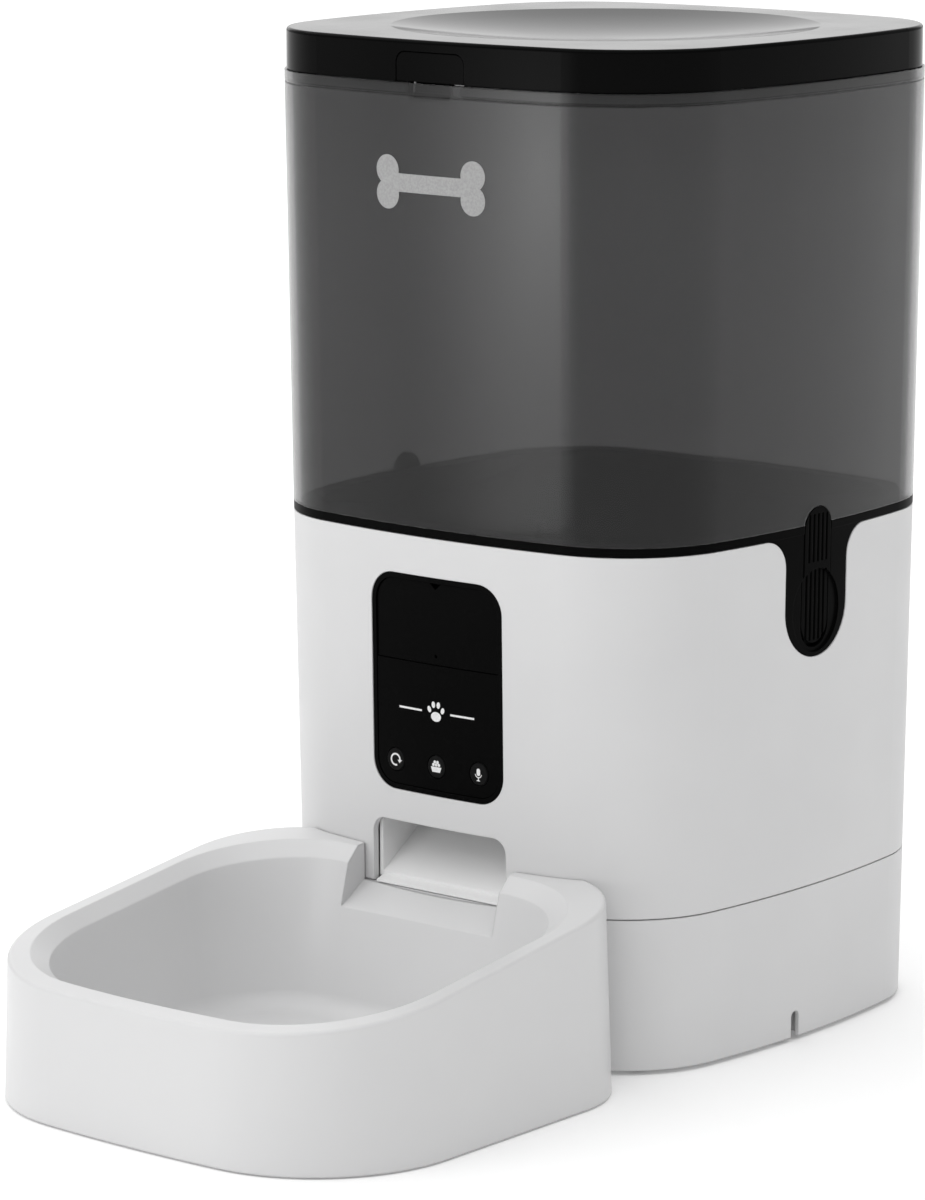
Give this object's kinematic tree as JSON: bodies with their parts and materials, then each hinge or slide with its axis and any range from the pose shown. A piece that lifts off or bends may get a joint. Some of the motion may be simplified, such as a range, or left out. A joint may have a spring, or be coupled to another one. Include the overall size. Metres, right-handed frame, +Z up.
{
  "type": "automatic pet feeder",
  "caption": "Gravity-tank automatic pet feeder: lidded smoky tank on a white body with a front control panel, a motor-driven portion rotor, a chute and a pull-off bowl.",
  "frame": {"origin": "on the ground, under the middle of the whole feeder with its bowl", "axes": "+Z up, -Y to the front, where the bowl and the control panel are, +X to the feeder's left as it faces forward"},
  "size_m": [0.1934, 0.3528, 0.3532],
  "materials": {
    "white_plastic": "fine satin moulded texture",
    "tank_smoke": "clear smoky, polished",
    "lid_gloss": "high gloss",
    "black_satin": "satin",
    "panel_black": "satin gloss",
    "button_black": "satin",
    "silicone": "soft matt silicone",
    "rubber_grey": "matt",
    "gear_nylon": "natural nylon",
    "steel": "plated",
    "motor_steel": "zinc plated can",
    "cell_wrap": "printed wrap over a metal can",
    "board_green": "solder mask",
    "component_black": "moulded epoxy",
    "sachet_paper": "non-woven paper",
    "cone_paper": "paper cone in a plated frame"
  },
  "bodies": {
    "housing": {"base_shell": "white_plastic", "rubber_feet": "rubber_grey", "batteries": "cell_wrap", "battery_contacts": "steel", "power_inlet": "steel", "body_shell": "white_plastic", "deck": "white_plastic", "case_screws": "steel", "deck_screws": "steel", "chute": "white_plastic", "food_sensors": "component_black", "panel_bezel": "panel_black", "panel_cover": "panel_black", "panel_fascia": "panel_black", "main_board": "board_green", "board_screws": "steel", "tact_switches": "component_black", "microphone": "steel", "board_components": "component_black", "speaker": "cone_paper", "motor": "motor_steel", "idler_pins": "steel", "gearbox_case": "black_satin", "gearbox_cover": "black_satin", "gearbox_screws": "steel"},
    "battery_door": {"battery_door": "white_plastic"},
    "bowl": {"bowl": "white_plastic", "bowl_feet": "rubber_grey"},
    "tank": {"tank_shell": "tank_smoke", "tank_base": "black_satin", "rotor_housing": "black_satin", "housing_screws": "steel", "portion_guard": "black_satin", "latch_pins": "steel", "latch_springs": "steel", "lid_hinge_pin": "steel"},
    "rotor": {"rotor_hub": "gear_nylon", "rotor_vanes": "silicone", "stirrer": "black_satin"},
    "tank_latch_right": {"tank_latch_right": "black_satin"},
    "tank_latch_left": {"tank_latch_left": "black_satin"},
    "lid": {"lid_shell": "lid_gloss", "lid_liner": "black_satin", "lid_seal": "silicone", "lid_latch_pin": "steel", "desiccant_box": "white_plastic", "desiccant_grille": "white_plastic", "desiccant_sachet": "sachet_paper"},
    "lid_latch": {"lid_latch": "lid_gloss"},
    "restart_button": {"restart_button": "button_black"},
    "feed_button": {"feed_button": "button_black"},
    "voice_button": {"voice_button": "button_black"},
    "output_gear": {"output_gear": "gear_nylon"},
    "idler_upper": {"idler_gear_upper": "gear_nylon"},
    "idler_lower": {"idler_gear_lower": "gear_nylon"},
    "motor_pinion": {"motor_pinion": "gear_nylon", "motor_shaft": "steel"}
  },
  "joints": [
    {"name": "bowl_slide", "type": "slide", "parent": "housing", "child": "bowl", "axis": [0, -1, 0], "range_m": [0, 0.06]},
    {"name": "battery_door_slide", "type": "slide", "parent": "housing", "child": "battery_door", "axis": [0, 0, -1], "range_m": [0, 0.02]},
    {"name": "tank_lift", "type": "slide", "parent": "housing", "child": "tank", "axis": [0, 0, 1], "range_m": [0, 0.08]},
    {"name": "rotor_spin", "type": "hinge", "parent": "tank", "child": "rotor", "pos_m": [0, 0.0741, 0.14], "axis": [0, 0, 1], "continuous": true},
    {"name": "tank_latch_right_pivot", "type": "hinge", "parent": "tank", "child": "tank_latch_right", "pos_m": [0.0906, 0.0741, 0.175], "axis": [0, 1, 0], "range_deg": [0, 4], "stiffness_Nm_per_rad": 1.2},
    {"name": "tank_latch_left_pivot", "type": "hinge", "parent": "tank", "child": "tank_latch_left", "pos_m": [-0.0906, 0.0741, 0.175], "axis": [0, -1, 0], "range_deg": [0, 4], "stiffness_Nm_per_rad": 1.2},
    {"name": "lid_hinge", "type": "hinge", "parent": "tank", "child": "lid", "pos_m": [0, 0.1736, 0.3389], "axis": [-1, 0, 0], "range_deg": [0, 105]},
    {"name": "lid_latch_pivot", "type": "hinge", "parent": "lid", "child": "lid_latch", "pos_m": [0, -0.0185, 0.3466], "axis": [1, 0, 0], "range_deg": [0, 8], "stiffness_Nm_per_rad": 0.25},
    {"name": "restart_button_press", "type": "slide", "parent": "housing", "child": "restart_button", "axis": [0, 1, 0], "range_m": [0, 0.0006], "stiffness_N_per_m": 1500},
    {"name": "feed_button_press", "type": "slide", "parent": "housing", "child": "feed_button", "axis": [0, 1, 0], "range_m": [0, 0.0006], "stiffness_N_per_m": 1500},
    {"name": "voice_button_press", "type": "slide", "parent": "housing", "child": "voice_button", "axis": [0, 1, 0], "range_m": [0, 0.0006], "stiffness_N_per_m": 1500},
    {"name": "output_gear_spin", "type": "hinge", "parent": "housing", "child": "output_gear", "pos_m": [0, 0.0741, 0.113], "axis": [0, 0, 1], "continuous": true},
    {"name": "idler_upper_spin", "type": "hinge", "parent": "housing", "child": "idler_upper", "pos_m": [0, 0.0933, 0.108], "axis": [0, 0, 1], "continuous": true},
    {"name": "idler_lower_spin", "type": "hinge", "parent": "housing", "child": "idler_lower", "pos_m": [0, 0.1117, 0.102], "axis": [0, 0, 1], "continuous": true},
    {"name": "motor_pinion_spin", "type": "hinge", "parent": "housing", "child": "motor_pinion", "pos_m": [0, 0.1301, 0.099], "axis": [0, 0, 1], "continuous": true}
  ],
  "couplings": [
    {"joint": "output_gear_spin", "follows": "rotor_spin", "ratio": 1},
    {"joint": "idler_upper_spin", "follows": "rotor_spin", "ratio": -3},
    {"joint": "idler_lower_spin", "follows": "rotor_spin", "ratio": 8.5},
    {"joint": "motor_pinion_spin", "follows": "rotor_spin", "ratio": -24.083}
  ]
}
